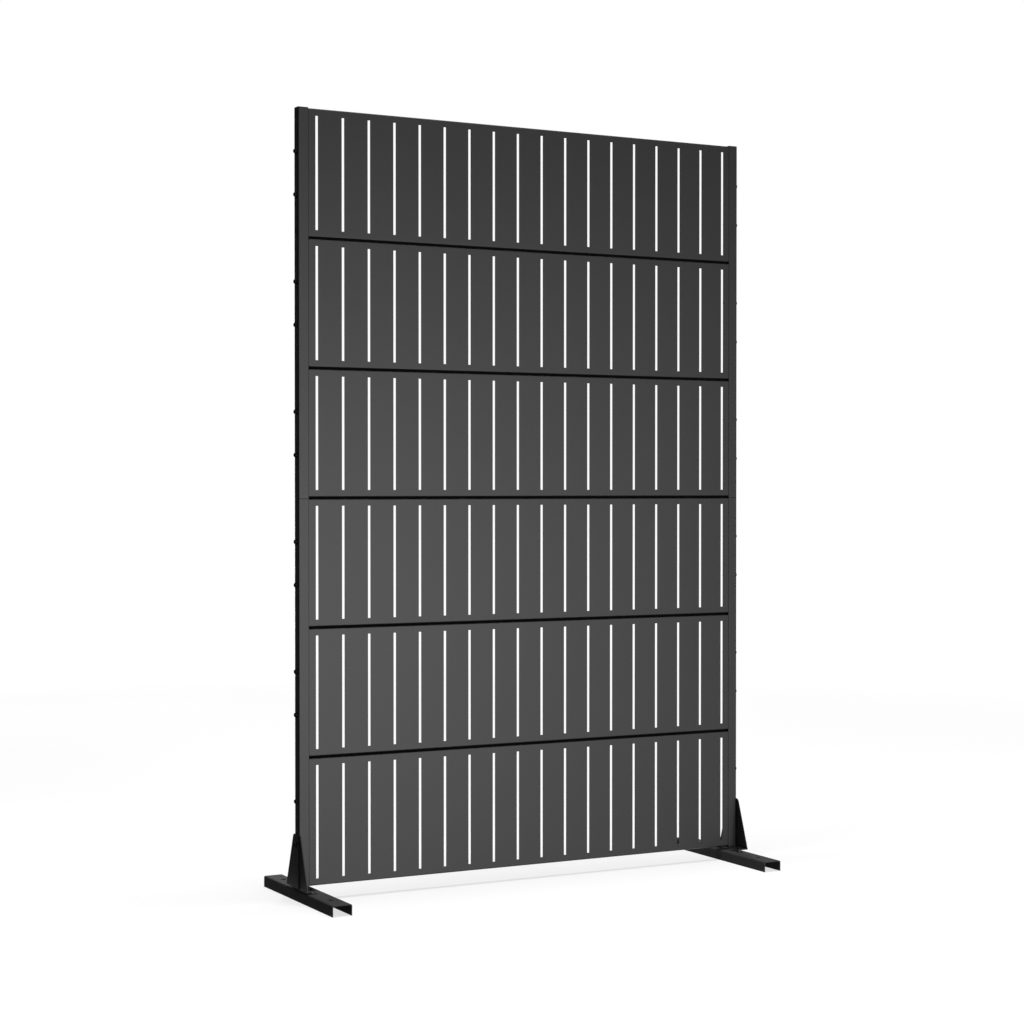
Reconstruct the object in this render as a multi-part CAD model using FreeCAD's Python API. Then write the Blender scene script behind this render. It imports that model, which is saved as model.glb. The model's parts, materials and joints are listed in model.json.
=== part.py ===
import FreeCAD, Part
import math
import os

from FreeCAD import Vector

# Free-standing slatted metal screen, in millimetres.
# Six slotted sheet trays are stacked between two channel posts.
# Each post is made in two lengths and stands on a bracket, which is bolted to a foot channel.
# X runs along the screen, Y from its front to its back, Z up. The ground is at Z = 0.
# Every side piece is built for the right-hand side and mirrored for the left.

# Slotted panels
panel_count = 6
panel_width = 1183.0
panel_height = 305.0
panel_sheet = 1.0
panel_fold_height = 3.4
panel_fold_slope = 75.0
panel_bend_inside = 1.0
panel_end_bend_inside = 0.3
panel_back_setback = 2.0
slot_count = 18
slot_width = 6.4
slot_side_margin = 21.5
slot_end_margin = 18.75

# Channel posts and their splices
post_width = 26.0
post_depth = 25.0
post_sheet = 1.5
post_bend_inside = 2.7
post_end_round = 0.9
post_joint_drop = 2.0
splice_leg = 16.0
splice_sheet = 1.5
splice_end_margin = 25.0
splice_clearance = 0.3

# Plastic caps in the open tops of the posts
cap_height = 12.0
cap_wall = 2.0
cap_clearance = 0.3

# Foot channels, open underneath
foot_length = 420.0
foot_width = 49.0
foot_height = 26.0
foot_sheet = 2.0
foot_bend_inside = 2.0
foot_bolt_offset = 7.0
anchor_hole = 12.0
anchor_end_inset = 65.0

# Foot brackets
bracket_sheet = 2.0
bracket_base = 129.0
bracket_top = 42.0
bracket_top_margin = 24.0
bracket_corner = 10.0
bracket_joggle = 2.2
bracket_flange = 30.3
bracket_bolt_inset = 17.8
bracket_bolt_end_inset = 15.0
bracket_clearance = 0.3
spacer_diameter = 14.0
spacer_height = 5.5

# Screws that hold the panels to the posts, and bolts that hold the brackets to the feet
screw_diameter = 6.0
screw_inset = 100.5
screw_spacing = 101.5
screw_tip = 1.0
hole_clearance = 0.6
thread_clearance = 0.3
head_diameter = 11.0
head_height = 4.2
head_crown = 8.0
head_bulge = 0.6
socket_across = 4.0
socket_depth = 2.0
washer_diameter = 13.0
washer_thickness = 1.2
nut_across = 10.0
nut_height = 5.0
sleeve_diameter = 10.0
sleeve_clearance = 0.6

# Worked-out places
hole_diameter = screw_diameter + hole_clearance
front = -post_depth / 2
panel_edge = panel_width / 2
panel_depth = post_depth - panel_back_setback
post_outer = panel_edge + post_width
flange_bottom = foot_height + spacer_height
post_bottom = flange_bottom + bracket_sheet
lower_count = panel_count // 2
joint_level = post_bottom + lower_count * panel_height - post_joint_drop
post_top = post_bottom + panel_count * panel_height
lowest_screw = post_bottom + screw_inset
web_outer = post_outer + bracket_sheet
wing_outer = web_outer - bracket_joggle
bolt_x = wing_outer - bracket_bolt_inset
bolt_y = bracket_base / 2 - bracket_bolt_end_inset
foot_x = bolt_x - foot_bolt_offset


def panel_bottom(index):
    """Height of the underside of a panel, counted from the ground up."""
    return post_bottom + index * panel_height


def screw_levels(first, last):
    """Heights of the screws of the panels from first up to, not including, last."""
    levels = []
    for index in range(first, last):
        levels.append(panel_bottom(index) + screw_inset)
        levels.append(panel_bottom(index) + screw_inset + screw_spacing)
    return levels


def cross_rod(diameter, start, length, level):
    """Round rod along X at the posts' mid depth, used for cuts and shanks."""
    return Part.makeCylinder(diameter / 2, length, Vector(start, 0, level), Vector(1, 0, 0))


def upright_rod(diameter, x, y, bottom, height):
    return Part.makeCylinder(diameter / 2, height, Vector(x, y, bottom))


def extruded(points, direction):
    """Solid with a straight-sided outline, pushed along a direction."""
    outline = Part.makePolygon(points + [points[0]])
    return Part.Face(outline).extrude(direction)


def rounded_bar(width, depth, radius, length):
    """Bar along Z with its face at y = 0, whose two edges there are rounded."""
    half = width / 2
    shift = radius * (1 - math.sqrt(0.5))
    corners = [
        Vector(-half, depth),
        Vector(-half, radius),
        Vector(radius - half, 0),
        Vector(half - radius, 0),
        Vector(half, radius),
        Vector(half, depth),
    ]
    edges = [
        Part.LineSegment(corners[0], corners[1]),
        Part.Arc(corners[1], Vector(shift - half, shift), corners[2]),
        Part.LineSegment(corners[2], corners[3]),
        Part.Arc(corners[3], Vector(half - shift, shift), corners[4]),
        Part.LineSegment(corners[4], corners[5]),
        Part.LineSegment(corners[5], corners[0]),
    ]
    outline = Part.Wire([edge.toShape() for edge in edges])
    return Part.Face(outline).extrude(Vector(0, 0, length))


def round_ends(bar, depth, radius):
    """Bar along Z with the rims of its two ends rounded, except on its back at y = depth."""
    rims = [
        edge
        for edge in bar.Edges
        if edge.BoundBox.ZLength < radius / 2 and edge.BoundBox.YMin < depth - radius
    ]
    return bar.makeFillet(radius, rims)


def channel(width, depth, sheet, inside_radius, length, end_round=0):
    """Folded sheet channel along Z with its web at y = 0 and its legs towards +Y."""
    outside = rounded_bar(width, depth, inside_radius + sheet, length)
    if end_round > 0:
        outside = round_ends(outside, depth, end_round)
    hollow = rounded_bar(width - 2 * sheet, depth, inside_radius, length)
    hollow.translate(Vector(0, sheet, 0))
    return outside.cut(hollow)


def tray_section(inset):
    """Corners of a tray's cross-section, with every wall moved inwards by inset."""
    slope = math.radians(panel_fold_slope)
    half = panel_height / 2 - inset
    face = panel_height / 2 - panel_fold_height - inset * math.tan(slope / 2)
    turn = panel_fold_height * math.tan(slope) + inset * math.tan((math.pi / 2 - slope) / 2)
    back = panel_depth + inset
    return [
        Vector(-half, back),
        Vector(-half, turn),
        Vector(-face, inset),
        Vector(face, inset),
        Vector(half, turn),
        Vector(half, back),
    ]


def tray_block(inset):
    """Solid with a tray's outer form, or with the form of its hollow where inset is the sheet."""
    length = panel_width - 2 * inset
    block = extruded(tray_section(inset), Vector(0, 0, length))
    folds = [
        edge
        for edge in block.Edges
        if edge.BoundBox.ZLength > panel_sheet and edge.BoundBox.YMax < panel_depth - panel_sheet
    ]
    block = block.makeFillet(panel_bend_inside + panel_sheet - inset, folds)
    block = round_ends(block, panel_depth, panel_end_bend_inside + panel_sheet - inset)
    block.translate(Vector(0, 0, inset))
    return block


def panel_tray():
    """One slotted tray with its underside at Z = 0.

    Its front sheet is folded back at a slant along the top and bottom edges, so that stacked
    trays meet in a dark V groove, and it has a flange to the back on all four sides.
    """
    tray = tray_block(0).cut(tray_block(panel_sheet))
    tray.rotate(Vector(0, 0, 0), Vector(0, 1, 0), 90)
    tray.translate(Vector(-panel_edge, front, panel_height / 2))
    slot_pitch = (panel_width - 2 * slot_side_margin) / (slot_count - 1)
    cuts = []
    for index in range(slot_count):
        middle = slot_side_margin - panel_edge + index * slot_pitch
        corner = Vector(middle - slot_width / 2, front - panel_sheet, slot_end_margin)
        cuts.append(
            Part.makeBox(slot_width, 3 * panel_sheet, panel_height - 2 * slot_end_margin, corner)
        )
    for level in (screw_inset, screw_inset + screw_spacing):
        cuts.append(cross_rod(hole_diameter, -panel_edge - panel_sheet, panel_width + 2 * panel_sheet, level))
    return tray.cut(Part.makeCompound(cuts))


def upright_channel(width, depth, sheet, inside_radius, web_face, bottom, top, end_round=0):
    """Channel standing on end, with its web facing outwards and its legs towards the panels."""
    upright = channel(width, depth, sheet, inside_radius, top - bottom, end_round)
    upright.rotate(Vector(0, 0, 0), Vector(0, 0, 1), 90)
    upright.translate(Vector(web_face, 0, bottom))
    return upright


def post(bottom, top, first, last):
    """Post length that carries the panels from first up to, not including, last."""
    upright = upright_channel(
        post_depth, post_width, post_sheet, post_bend_inside, post_outer, bottom, top, post_end_round
    )
    holes = [
        cross_rod(hole_diameter, post_outer - 2 * post_sheet, 3 * post_sheet, level)
        for level in screw_levels(first, last)
    ]
    return upright.cut(Part.makeCompound(holes))


def post_splice():
    """Short channel inside the post, across the joint of its two lengths."""
    below, above = screw_levels(lower_count - 1, lower_count + 1)[1:3]
    face = post_outer - post_sheet
    width = post_depth - 2 * post_sheet - 2 * splice_clearance
    splice = upright_channel(
        width, splice_leg, splice_sheet, post_bend_inside,
        face, below - splice_end_margin, above + splice_end_margin,
    )
    holes = [
        cross_rod(sleeve_diameter + sleeve_clearance, face - 2 * splice_sheet, 3 * splice_sheet, level)
        for level in (below, above)
    ]
    return splice.cut(Part.makeCompound(holes))


def top_cap():
    """Hollow plug in the top end of the post, level with it."""
    width = post_depth - 2 * post_sheet - 2 * cap_clearance
    depth = post_width - post_sheet - cap_clearance
    plug = rounded_bar(width, depth, post_bend_inside, cap_height)
    hollow = Part.makeBox(
        width - 2 * cap_wall, depth - 2 * cap_wall, cap_height - cap_wall,
        Vector(cap_wall - width / 2, cap_wall, 0),
    )
    plug = plug.cut(hollow)
    plug.rotate(Vector(0, 0, 0), Vector(0, 0, 1), 90)
    plug.translate(Vector(post_outer - post_sheet, 0, post_top - cap_height))
    return plug


def foot_channel():
    """Channel on the ground with its legs down, drilled for ground anchors and bracket bolts."""
    foot = channel(foot_width, foot_height, foot_sheet, foot_bend_inside, foot_length)
    foot.rotate(Vector(0, 0, 0), Vector(1, 0, 0), -90)
    foot.translate(Vector(foot_x, -foot_length / 2, foot_height))
    anchor_y = foot_length / 2 - anchor_end_inset
    below = foot_height - 2 * foot_sheet
    through = 3 * foot_sheet
    holes = []
    for side in (-1, 1):
        holes.append(upright_rod(anchor_hole, foot_x, side * anchor_y, below, through))
        holes.append(upright_rod(hole_diameter, bolt_x, side * bolt_y, below, through))
    return foot.cut(Part.makeCompound(holes))


def bracket_side_view(bottom, top):
    """Slab as wide as the bracket, with sloping sides and rounded top corners."""
    base_half = bracket_base / 2
    top_half = bracket_top / 2
    low = wing_outer - bracket_flange
    outline = [
        Vector(low, -base_half, bottom),
        Vector(low, base_half, bottom),
        Vector(low, top_half, top),
        Vector(low, -top_half, top),
    ]
    slab = extruded(outline, Vector(web_outer - low, 0, 0))
    top_edges = [
        edge
        for edge in slab.Edges
        if abs(edge.BoundBox.ZMin - top) < bracket_sheet / 2 and edge.BoundBox.XLength > bracket_sheet
    ]
    return slab.makeFillet(bracket_corner, top_edges)


def foot_bracket():
    """Pressed bracket: a tapering plate set round the post's outer side, on a flange over the foot."""
    top = lowest_screw + bracket_top_margin
    reach = bracket_base / 2
    recess = post_depth / 2 + bracket_clearance
    joggle_slope = math.radians(45)
    web_half = recess + bracket_sheet * math.tan(joggle_slope / 2)
    outside = [
        Vector(wing_outer, -reach, flange_bottom),
        Vector(wing_outer, -web_half - bracket_joggle, flange_bottom),
        Vector(web_outer, -web_half, flange_bottom),
        Vector(web_outer, web_half, flange_bottom),
        Vector(wing_outer, web_half + bracket_joggle, flange_bottom),
        Vector(wing_outer, reach, flange_bottom),
    ]
    wing_inner = wing_outer - bracket_sheet
    inside = [
        Vector(wing_inner, reach, flange_bottom),
        Vector(wing_inner, recess + bracket_joggle, flange_bottom),
        Vector(post_outer, recess, flange_bottom),
        Vector(post_outer, -recess, flange_bottom),
        Vector(wing_inner, -recess - bracket_joggle, flange_bottom),
        Vector(wing_inner, -reach, flange_bottom),
    ]
    flange_edge = wing_outer - bracket_flange
    flange_inside = [
        Vector(flange_edge, reach, flange_bottom),
        Vector(flange_edge, -reach, flange_bottom),
    ]
    plate = extruded(outside + inside, Vector(0, 0, top - flange_bottom))
    plate = plate.common(bracket_side_view(flange_bottom, top))
    flange = extruded(outside + flange_inside, Vector(0, 0, bracket_sheet))
    bracket = plate.fuse(flange).removeSplitter()
    holes = [cross_rod(hole_diameter, post_outer - bracket_sheet, 3 * bracket_sheet, lowest_screw)]
    for side in (-1, 1):
        low = flange_bottom - bracket_sheet
        holes.append(upright_rod(hole_diameter, bolt_x, side * bolt_y, low, 3 * bracket_sheet))
    return bracket.cut(Part.makeCompound(holes))


def ring(outside, inside, height):
    """Flat ring or sleeve on the Z axis, from Z = 0 up."""
    body = Part.makeCylinder(outside / 2, height)
    return body.cut(Part.makeCylinder(inside / 2, height))


def hexagon(across, height):
    """Six-sided bar on the Z axis, from Z = 0 up."""
    radius = across / math.sqrt(3)
    points = [
        Vector(radius * math.cos(math.radians(turn)), radius * math.sin(math.radians(turn)), 0)
        for turn in range(0, 360, 60)
    ]
    return extruded(points, Vector(0, 0, height))


def button_screw(length):
    """Domed screw on the Z axis: the head seats on Z = 0 and the shank points down."""
    rim = head_diameter / 2
    crown = head_crown / 2
    outward = Vector(head_height, 0, rim - crown).normalize()
    middle = Vector((rim + crown) / 2, 0, head_height / 2) + outward * head_bulge
    profile = [
        Part.LineSegment(Vector(0, 0, 0), Vector(rim, 0, 0)),
        Part.Arc(Vector(rim, 0, 0), middle, Vector(crown, 0, head_height)),
        Part.LineSegment(Vector(crown, 0, head_height), Vector(0, 0, head_height)),
        Part.LineSegment(Vector(0, 0, head_height), Vector(0, 0, 0)),
    ]
    outline = Part.Wire([edge.toShape() for edge in profile])
    head = Part.Face(outline).revolve(Vector(0, 0, 0), Vector(0, 0, 1), 360)
    socket = hexagon(socket_across, socket_depth)
    socket.translate(Vector(0, 0, head_height - socket_depth))
    shank = Part.makeCylinder(screw_diameter / 2, length, Vector(0, 0, -length))
    return head.cut(socket).fuse(shank).removeSplitter()


def nut():
    body = hexagon(nut_across, nut_height)
    return body.cut(Part.makeCylinder((screw_diameter + thread_clearance) / 2, nut_height))


def sideways(shape, start, level):
    """Copy of a piece made on the Z axis, laid along X with its Z = 0 face at start."""
    piece = shape.copy()
    piece.rotate(Vector(0, 0, 0), Vector(0, 1, 0), 90)
    piece.translate(Vector(start, 0, level))
    return piece


def at_foot_bolts(shape, bottom):
    """Copies of a piece at the two bracket bolts of one foot."""
    pieces = []
    for side in (-1, 1):
        piece = shape.copy()
        piece.translate(Vector(bolt_x, side * bolt_y, bottom))
        pieces.append(piece)
    return Part.makeCompound(pieces)


def panel_fastener_groups():
    """Screws, washers, sleeves and nuts that hold all the panels to one post."""
    flange_inner = panel_edge - panel_sheet
    grip = washer_thickness + bracket_sheet + post_width + panel_sheet
    screw = button_screw(grip + nut_height + screw_tip)
    washer = ring(washer_diameter, hole_diameter, washer_thickness)
    sleeve = ring(sleeve_diameter, hole_diameter, post_width - post_sheet)
    screws = []
    washers = []
    sleeves = []
    nuts = []
    for level in screw_levels(0, panel_count):
        seat = web_outer if level == lowest_screw else post_outer
        washers.append(sideways(washer, seat, level))
        screws.append(sideways(screw, seat + washer_thickness, level))
        sleeves.append(sideways(sleeve, panel_edge, level))
        nuts.append(sideways(nut(), flange_inner - nut_height, level))
    return {
        "panel_screws": Part.makeCompound(screws),
        "panel_washers": Part.makeCompound(washers),
        "screw_sleeves": Part.makeCompound(sleeves),
        "panel_nuts": Part.makeCompound(nuts),
    }


def foot_fastener_groups():
    """Bolts, spacers, washers and nuts that hold one bracket to its foot."""
    web_inner = foot_height - foot_sheet
    grip = bracket_sheet + spacer_height + foot_sheet + washer_thickness
    return {
        "foot_bolts": at_foot_bolts(button_screw(grip + nut_height + screw_tip), post_bottom),
        "foot_spacers": at_foot_bolts(ring(spacer_diameter, hole_diameter, spacer_height), foot_height),
        "foot_washers": at_foot_bolts(
            ring(washer_diameter, hole_diameter, washer_thickness), web_inner - washer_thickness
        ),
        "foot_nuts": at_foot_bolts(nut(), web_inner - washer_thickness - nut_height),
    }


os.makedirs("parts", exist_ok=True)

tray = panel_tray()
for index in range(panel_count):
    panel = tray.copy()
    panel.translate(Vector(0, 0, panel_bottom(index)))
    panel.exportStep(f"parts/panel_{index + 1}.step")

side_pieces = {
    "lower_post": post(post_bottom, joint_level, 0, lower_count),
    "upper_post": post(joint_level, post_top, lower_count, panel_count),
    "post_splice": post_splice(),
    "top_cap": top_cap(),
    "foot_channel": foot_channel(),
    "foot_bracket": foot_bracket(),
}
side_pieces.update(panel_fastener_groups())
side_pieces.update(foot_fastener_groups())
for name, piece in side_pieces.items():
    piece.exportStep(f"parts/right_{name}.step")
    piece.mirror(Vector(0, 0, 0), Vector(1, 0, 0)).exportStep(f"parts/left_{name}.step")
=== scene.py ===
import json
import math

import bpy
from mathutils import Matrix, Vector

# Free-standing slatted metal screen: the finishes, the floor, the light and the camera, in metres.
# X runs along the screen, Y from its front to its back, Z up. The ground is at Z = 0.

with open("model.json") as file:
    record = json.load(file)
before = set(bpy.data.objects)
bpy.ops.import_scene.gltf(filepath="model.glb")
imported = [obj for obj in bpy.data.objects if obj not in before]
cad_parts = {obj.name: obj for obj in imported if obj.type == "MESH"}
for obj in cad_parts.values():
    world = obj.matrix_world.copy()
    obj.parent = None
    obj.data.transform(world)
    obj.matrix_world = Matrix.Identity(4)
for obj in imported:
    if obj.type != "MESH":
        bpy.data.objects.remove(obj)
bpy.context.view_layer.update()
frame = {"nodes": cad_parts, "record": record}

MILLIMETRE = 0.001
WHITE = "ffffff"

# Camera, at the height of the screen's middle, in front of it and to its left
# Its angles are in degrees, its lens and sensor in millimetres
CAMERA_PLACE = (-2.5006, -4.5898, 0.9741)
CAMERA_TURN_RIGHT = 28.161
CAMERA_TILT_DOWN = 0.680
CAMERA_LENS = 73.98
CAMERA_SENSOR = 36.0

# Soft lamps: place, aim, width, height, power, and the spread in degrees, which a grid narrows
SOFTBOX = ((0.589, -5.636, 0.352), (-0.2, 0.0, 0.352), 4.0, 0.604, 342.0, 180)
TOP_LAMP = ((0.0, -0.1, 4.2), (0.0, -0.1, 0.0), 2.6, 1.0, 220.0, 180)
BACK_LAMP = ((2.7, 5.2, 0.55), (0.2, 0.0, 0.9), 1.6, 0.8, 10.0, 50)
BACK_FILL = ((0.2, 5.2, 0.5), (0.0, 0.0, 0.9), 1.5, 0.8, 9.0, 50)
AMBIENT_STRENGTH = 0.2

# Floor, whose glow grows with the distance from the screen
FLOOR_SIZE = 60.0
FLOOR_GLOW_NEAR = 0.69
FLOOR_GLOW_FAR = 0.97
FLOOR_NEAR_RADIUS = 1.0
FLOOR_FAR_RADIUS = 7.0

# Cloth cards beside and above the screen, for its coat to mirror
LEFT_CARD_FOOT = -0.66
LEFT_CARD_LEAN = 0.5
LEFT_CARD_HEIGHT = 2.8
LEFT_CARD_FRONT = -3.0
LEFT_CARD_MIDDLE = -0.05
LEFT_CARD_BACK = 3.2
LEFT_CARD_GRADE_LOW = 0.3
LEFT_CARD_GRADE_HIGH = 1.7
TOP_CARD_HEIGHT = 2.3
TOP_CARD_REACH = 1.4
TOP_CARD_FRONT = -2.4
TOP_CARD_BACK = 2.5
RIGHT_CARD_FOOT = 1.3
RIGHT_CARD_LEAN = 0.0
RIGHT_CARD_HEIGHT = 2.2
RIGHT_CARD_FRONT = -0.6
RIGHT_CARD_BACK = 1.6


def linear(hex_colour):
    """Linear red, green, blue and alpha of an sRGB hex colour."""
    shares = [int(hex_colour[start:start + 2], 16) / 255 for start in (0, 2, 4)]
    bent = [share / 12.92 if share <= 0.04045 else ((share + 0.055) / 1.055) ** 2.4 for share in shares]
    return (*bent, 1.0)


def add_node(tree, kind, settings=None, stops=(), feeds=(), **inputs):
    """New shader node with its settings, a ramp's stops, and the sockets that feed its first inputs.

    A named input is a value or the socket that feeds it.
    """
    node = tree.nodes.new(kind)
    for name, value in (settings or {}).items():
        setattr(node, name, value)
    for index, (position, hex_colour) in enumerate(stops):
        node.color_ramp.elements[index].position = position
        node.color_ramp.elements[index].color = linear(hex_colour)
    for index, socket in enumerate(feeds):
        tree.links.new(socket, node.inputs[index])
    for name, value in inputs.items():
        socket = node.inputs[name.replace("_", " ")]
        if isinstance(value, bpy.types.NodeSocket):
            tree.links.new(value, socket)
        else:
            socket.default_value = value
    return node


def new_material(name):
    """Empty node material and its tree."""
    material = bpy.data.materials.new(name)
    material.use_nodes = True
    material.node_tree.nodes.clear()
    return material, material.node_tree


def per_size(millimetres):
    """Pattern scale whose marks are about this many millimetres across."""
    return 1 / (millimetres * MILLIMETRE)


def black_powder_coat():
    """Polyester powder baked on steel sheet: near-black, satin, with a faint orange-peel ripple."""
    cloud_size = 160
    ripple_size = 2.5
    ripple_depth = 0.1
    material, tree = new_material("black_powder_coat")
    place = add_node(tree, "ShaderNodeTexCoord").outputs["Object"]
    cloud = add_node(tree, "ShaderNodeTexNoise", Vector=place, Scale=per_size(cloud_size), Detail=3.0)
    tone = add_node(
        tree,
        "ShaderNodeValToRGB",
        stops=((0.35, "090909"), (0.65, "0c0c0c")),
        Fac=cloud.outputs["Fac"],
    )
    ripple = add_node(tree, "ShaderNodeTexNoise", Vector=place, Scale=per_size(ripple_size), Detail=2.0)
    gloss = add_node(tree, "ShaderNodeMapRange", Value=ripple.outputs["Fac"], To_Min=0.47, To_Max=0.53)
    bump = add_node(
        tree,
        "ShaderNodeBump",
        Height=ripple.outputs["Fac"],
        Strength=0.15,
        Distance=ripple_depth * MILLIMETRE,
    )
    shader = add_node(
        tree,
        "ShaderNodeBsdfPrincipled",
        Base_Color=tone.outputs["Color"],
        Roughness=gloss.outputs["Result"],
        Normal=bump.outputs["Normal"],
        Specular_IOR_Level=0.3,
    )
    add_node(tree, "ShaderNodeOutputMaterial", Surface=shader.outputs["BSDF"])
    return material


def textured_powder_coat():
    """Fine-textured polyester powder: charcoal black and matt, with a gritty grain."""
    # Coarser than the real grit, so that it shows close up
    grit_size = 1.6
    grit_depth = 0.1
    material, tree = new_material("textured_powder_coat")
    place = add_node(tree, "ShaderNodeTexCoord").outputs["Object"]
    grit = add_node(tree, "ShaderNodeTexNoise", Vector=place, Scale=per_size(grit_size), Detail=3.0)
    tone = add_node(
        tree,
        "ShaderNodeValToRGB",
        stops=((0.3, "333232"), (0.7, "414040")),
        Fac=grit.outputs["Fac"],
    )
    bump = add_node(
        tree,
        "ShaderNodeBump",
        Height=grit.outputs["Fac"],
        Strength=0.25,
        Distance=grit_depth * MILLIMETRE,
    )
    shader = add_node(
        tree,
        "ShaderNodeBsdfPrincipled",
        Base_Color=tone.outputs["Color"],
        Roughness=0.7,
        Normal=bump.outputs["Normal"],
        Specular_IOR_Level=0.03,
    )
    add_node(tree, "ShaderNodeOutputMaterial", Surface=shader.outputs["BSDF"])
    return material


def blackened_steel():
    """Black-oxide steel: almost no light comes back, with a dull oiled sheen."""
    # Coarser than the real grain, so that it shows close up
    grain_size = 1.5
    material, tree = new_material("blackened_steel")
    place = add_node(tree, "ShaderNodeTexCoord").outputs["Object"]
    grain = add_node(tree, "ShaderNodeTexNoise", Vector=place, Scale=per_size(grain_size), Detail=3.0)
    tone = add_node(
        tree,
        "ShaderNodeValToRGB",
        stops=((0.0, "030303"), (1.0, "080808")),
        Fac=grain.outputs["Fac"],
    )
    gloss = add_node(tree, "ShaderNodeMapRange", Value=grain.outputs["Fac"], To_Min=0.4, To_Max=0.6)
    shader = add_node(
        tree,
        "ShaderNodeBsdfPrincipled",
        Base_Color=tone.outputs["Color"],
        Roughness=gloss.outputs["Result"],
        Specular_IOR_Level=0.1,
    )
    add_node(tree, "ShaderNodeOutputMaterial", Surface=shader.outputs["BSDF"])
    return material


def zinc_plated_steel():
    """Bright zinc plate: a cool pale metal with cloudy spangles of different dullness."""
    spangle_size = 4
    material, tree = new_material("zinc_plated_steel")
    place = add_node(tree, "ShaderNodeTexCoord").outputs["Object"]
    spangle = add_node(tree, "ShaderNodeTexVoronoi", Vector=place, Scale=per_size(spangle_size))
    tone = add_node(
        tree,
        "ShaderNodeValToRGB",
        stops=((0.0, "b4b9be"), (1.0, "cdd1d4")),
        Fac=spangle.outputs["Color"],
    )
    gloss = add_node(tree, "ShaderNodeMapRange", Value=spangle.outputs["Color"], To_Min=0.3, To_Max=0.42)
    shader = add_node(
        tree,
        "ShaderNodeBsdfPrincipled",
        Base_Color=tone.outputs["Color"],
        Roughness=gloss.outputs["Result"],
        Metallic=1.0,
    )
    add_node(tree, "ShaderNodeOutputMaterial", Surface=shader.outputs["BSDF"])
    return material


def black_nylon():
    """Moulded black nylon: matt, with the fine spark-eroded grain of its mould."""
    # Coarser than the real grain, so that it shows close up
    grain_size = 0.8
    grain_depth = 0.05
    material, tree = new_material("black_nylon")
    place = add_node(tree, "ShaderNodeTexCoord").outputs["Object"]
    grain = add_node(tree, "ShaderNodeTexNoise", Vector=place, Scale=per_size(grain_size), Detail=2.0)
    tone = add_node(
        tree,
        "ShaderNodeValToRGB",
        stops=((0.0, "101011"), (1.0, "18181a")),
        Fac=grain.outputs["Fac"],
    )
    bump = add_node(
        tree,
        "ShaderNodeBump",
        Height=grain.outputs["Fac"],
        Strength=0.3,
        Distance=grain_depth * MILLIMETRE,
    )
    shader = add_node(
        tree,
        "ShaderNodeBsdfPrincipled",
        Base_Color=tone.outputs["Color"],
        Roughness=0.6,
        Normal=bump.outputs["Normal"],
    )
    add_node(tree, "ShaderNodeOutputMaterial", Surface=shader.outputs["BSDF"])
    return material


def background_rays(tree):
    """One for a ray from the camera, a mirror-like surface or glass, otherwise zero."""
    path = add_node(tree, "ShaderNodeLightPath")
    seen = path.outputs["Is Camera Ray"]
    for other in ("Is Glossy Ray", "Is Transmission Ray"):
        either = add_node(
            tree, "ShaderNodeMath", {"operation": "MAXIMUM"}, feeds=(seen, path.outputs[other])
        )
        seen = either.outputs["Value"]
    return seen


def white_floor():
    """Matt grey studio floor with a glow, which together look white near the screen and far off."""
    material, tree = new_material("white_floor")
    paint = add_node(tree, "ShaderNodeBsdfDiffuse", Color=linear("909090"))
    place = add_node(tree, "ShaderNodeTexCoord").outputs["Object"]
    distance = add_node(tree, "ShaderNodeVectorMath", {"operation": "LENGTH"}, feeds=(place,))
    falloff = add_node(
        tree,
        "ShaderNodeMapRange",
        Value=distance.outputs["Value"],
        From_Min=FLOOR_NEAR_RADIUS,
        From_Max=FLOOR_FAR_RADIUS,
        To_Min=FLOOR_GLOW_NEAR,
        To_Max=FLOOR_GLOW_FAR,
    )
    strength = add_node(
        tree,
        "ShaderNodeMath",
        {"operation": "MULTIPLY"},
        feeds=(background_rays(tree), falloff.outputs["Result"]),
    )
    glow = add_node(
        tree, "ShaderNodeEmission", Color=linear(WHITE), Strength=strength.outputs["Value"]
    )
    both = add_node(
        tree, "ShaderNodeAddShader", feeds=(paint.outputs["BSDF"], glow.outputs["Emission"])
    )
    add_node(tree, "ShaderNodeOutputMaterial", Surface=both.outputs["Shader"])
    return material


def black_cloth():
    """Matt black cloth, which gives back next to no light."""
    material, tree = new_material("black_cloth")
    shader = add_node(tree, "ShaderNodeBsdfDiffuse", Color=linear("050505"))
    add_node(tree, "ShaderNodeOutputMaterial", Surface=shader.outputs["BSDF"])
    return material


def grey_cloth():
    """Matt grey cloth, which darkens evenly from low down to high up."""
    material, tree = new_material("grey_cloth")
    place = add_node(tree, "ShaderNodeTexCoord").outputs["Object"]
    height = add_node(tree, "ShaderNodeSeparateXYZ", Vector=place).outputs["Z"]
    share = add_node(
        tree,
        "ShaderNodeMapRange",
        Value=height,
        From_Min=LEFT_CARD_GRADE_LOW,
        From_Max=LEFT_CARD_GRADE_HIGH,
    )
    tone = add_node(
        tree,
        "ShaderNodeValToRGB",
        stops=((0.0, "6c6c6c"), (1.0, "303030")),
        Fac=share.outputs["Result"],
    )
    shader = add_node(tree, "ShaderNodeBsdfDiffuse", Color=tone.outputs["Color"])
    add_node(tree, "ShaderNodeOutputMaterial", Surface=shader.outputs["BSDF"])
    return material


def white_backdrop():
    """World that the camera, mirrors and glass see as white, and that lights the rest weakly."""
    world = bpy.data.worlds.new("studio")
    world.use_nodes = True
    tree = world.node_tree
    tree.nodes.clear()
    strength = add_node(
        tree, "ShaderNodeMapRange", Value=background_rays(tree), To_Min=AMBIENT_STRENGTH, To_Max=1.0
    )
    backdrop = add_node(
        tree, "ShaderNodeBackground", Color=linear(WHITE), Strength=strength.outputs["Result"]
    )
    add_node(tree, "ShaderNodeOutputWorld", Surface=backdrop.outputs["Background"])
    return world


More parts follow.
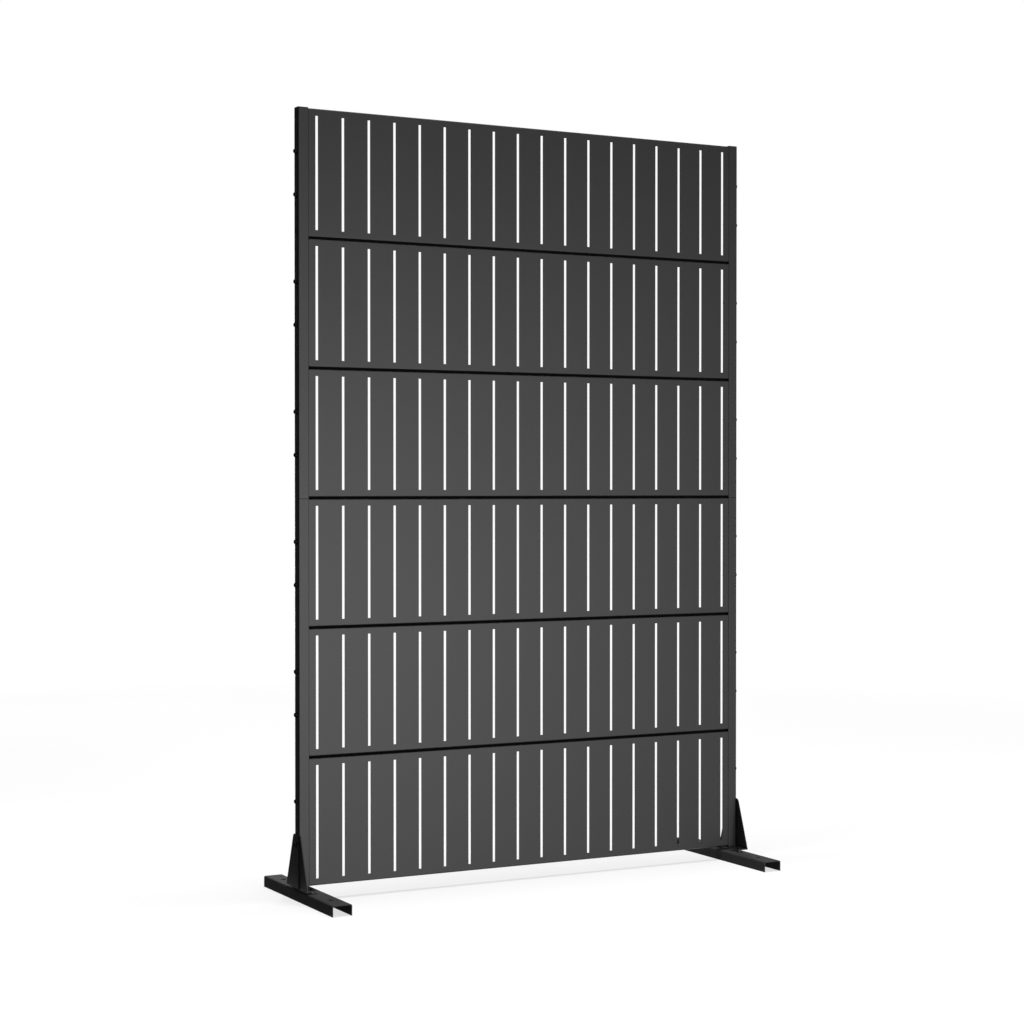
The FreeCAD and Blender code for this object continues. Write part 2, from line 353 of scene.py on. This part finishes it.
def flat_sheet(name, corners, material):
    """Flat four-cornered sheet that belongs to the studio and not to the screen."""
    mesh = bpy.data.meshes.new(name)
    mesh.from_pydata(corners, [], [(0, 1, 2, 3)])
    mesh.materials.append(material)
    sheet = bpy.data.objects.new(name, mesh)
    bpy.context.scene.collection.objects.link(sheet)
    return sheet


def level_corners(reach, front, back, height):
    """Corners of a level sheet that reaches equally far to the left and right."""
    return [(-reach, front, height), (reach, front, height), (reach, back, height), (-reach, back, height)]


def standing_corners(foot, lean, front, back, height):
    """Corners of a sheet that stands on the floor from front to back and leans to the left."""
    top = foot - lean
    return [(foot, front, 0), (foot, back, 0), (top, back, height), (top, front, height)]


def cloth_card(name, corners, cloth):
    """Card that the screen's coat mirrors, but that the camera doesn't see and that casts no shadow."""
    card = flat_sheet(name, corners, cloth)
    card.visible_camera = False
    card.visible_shadow = False


def area_lamp(name, place, aim, width, height, power, spread):
    """Rectangular soft lamp at a place, aimed at a point."""
    lamp = bpy.data.lights.new(name, "AREA")
    lamp.shape = "RECTANGLE"
    lamp.size = width
    lamp.size_y = height
    lamp.energy = power
    lamp.spread = math.radians(spread)
    holder = bpy.data.objects.new(name, lamp)
    holder.location = place
    holder.rotation_euler = (Vector(aim) - Vector(place)).to_track_quat("-Z", "Y").to_euler()
    holder.visible_camera = False
    bpy.context.scene.collection.objects.link(holder)


# Finishes of the screen's pieces, by the record's material slots
finishes = {
    "powder_coat": black_powder_coat(),
    "black_fastener": blackened_steel(),
    "zinc_plate": zinc_plated_steel(),
    "black_plastic": black_nylon(),
}
for subpart in frame["record"]["subparts"]:
    mesh = frame["nodes"][subpart["node"]].data
    mesh.materials.clear()
    mesh.materials.append(finishes[subpart["material_slot"]])

# Textured coat of the foot channels
foot_coat = textured_powder_coat()
for side in ("left", "right"):
    frame["nodes"][f"{side}_foot_channel"].data.materials[0] = foot_coat

# Floor
half_floor = FLOOR_SIZE / 2
flat_sheet("studio_floor", level_corners(half_floor, -half_floor, half_floor, 0), white_floor())

# Cards
dark_cloth = black_cloth()
left_cards = (
    ("left_front_card", LEFT_CARD_FRONT, LEFT_CARD_MIDDLE, dark_cloth),
    ("left_back_card", LEFT_CARD_MIDDLE, LEFT_CARD_BACK, grey_cloth()),
)
for name, front, back, cloth in left_cards:
    corners = standing_corners(LEFT_CARD_FOOT, LEFT_CARD_LEAN, front, back, LEFT_CARD_HEIGHT)
    cloth_card(name, corners, cloth)
cloth_card(
    "top_card",
    level_corners(TOP_CARD_REACH, TOP_CARD_FRONT, TOP_CARD_BACK, TOP_CARD_HEIGHT),
    dark_cloth,
)
cloth_card(
    "right_card",
    standing_corners(
        RIGHT_CARD_FOOT, RIGHT_CARD_LEAN, RIGHT_CARD_FRONT, RIGHT_CARD_BACK, RIGHT_CARD_HEIGHT
    ),
    dark_cloth,
)

# Light
area_lamp("softbox", *SOFTBOX)
area_lamp("top_lamp", *TOP_LAMP)
area_lamp("back_lamp", *BACK_LAMP)
area_lamp("back_fill", *BACK_FILL)
bpy.context.scene.world = white_backdrop()

# Camera
view = bpy.data.cameras.new("camera")
view.sensor_width = CAMERA_SENSOR
view.lens = CAMERA_LENS
camera = bpy.data.objects.new("camera", view)
camera.location = CAMERA_PLACE
camera.rotation_euler = (math.radians(90 - CAMERA_TILT_DOWN), 0, math.radians(-CAMERA_TURN_RIGHT))
bpy.context.scene.collection.objects.link(camera)
bpy.context.scene.camera = camera
bpy.context.scene.view_settings.view_transform = "Standard"
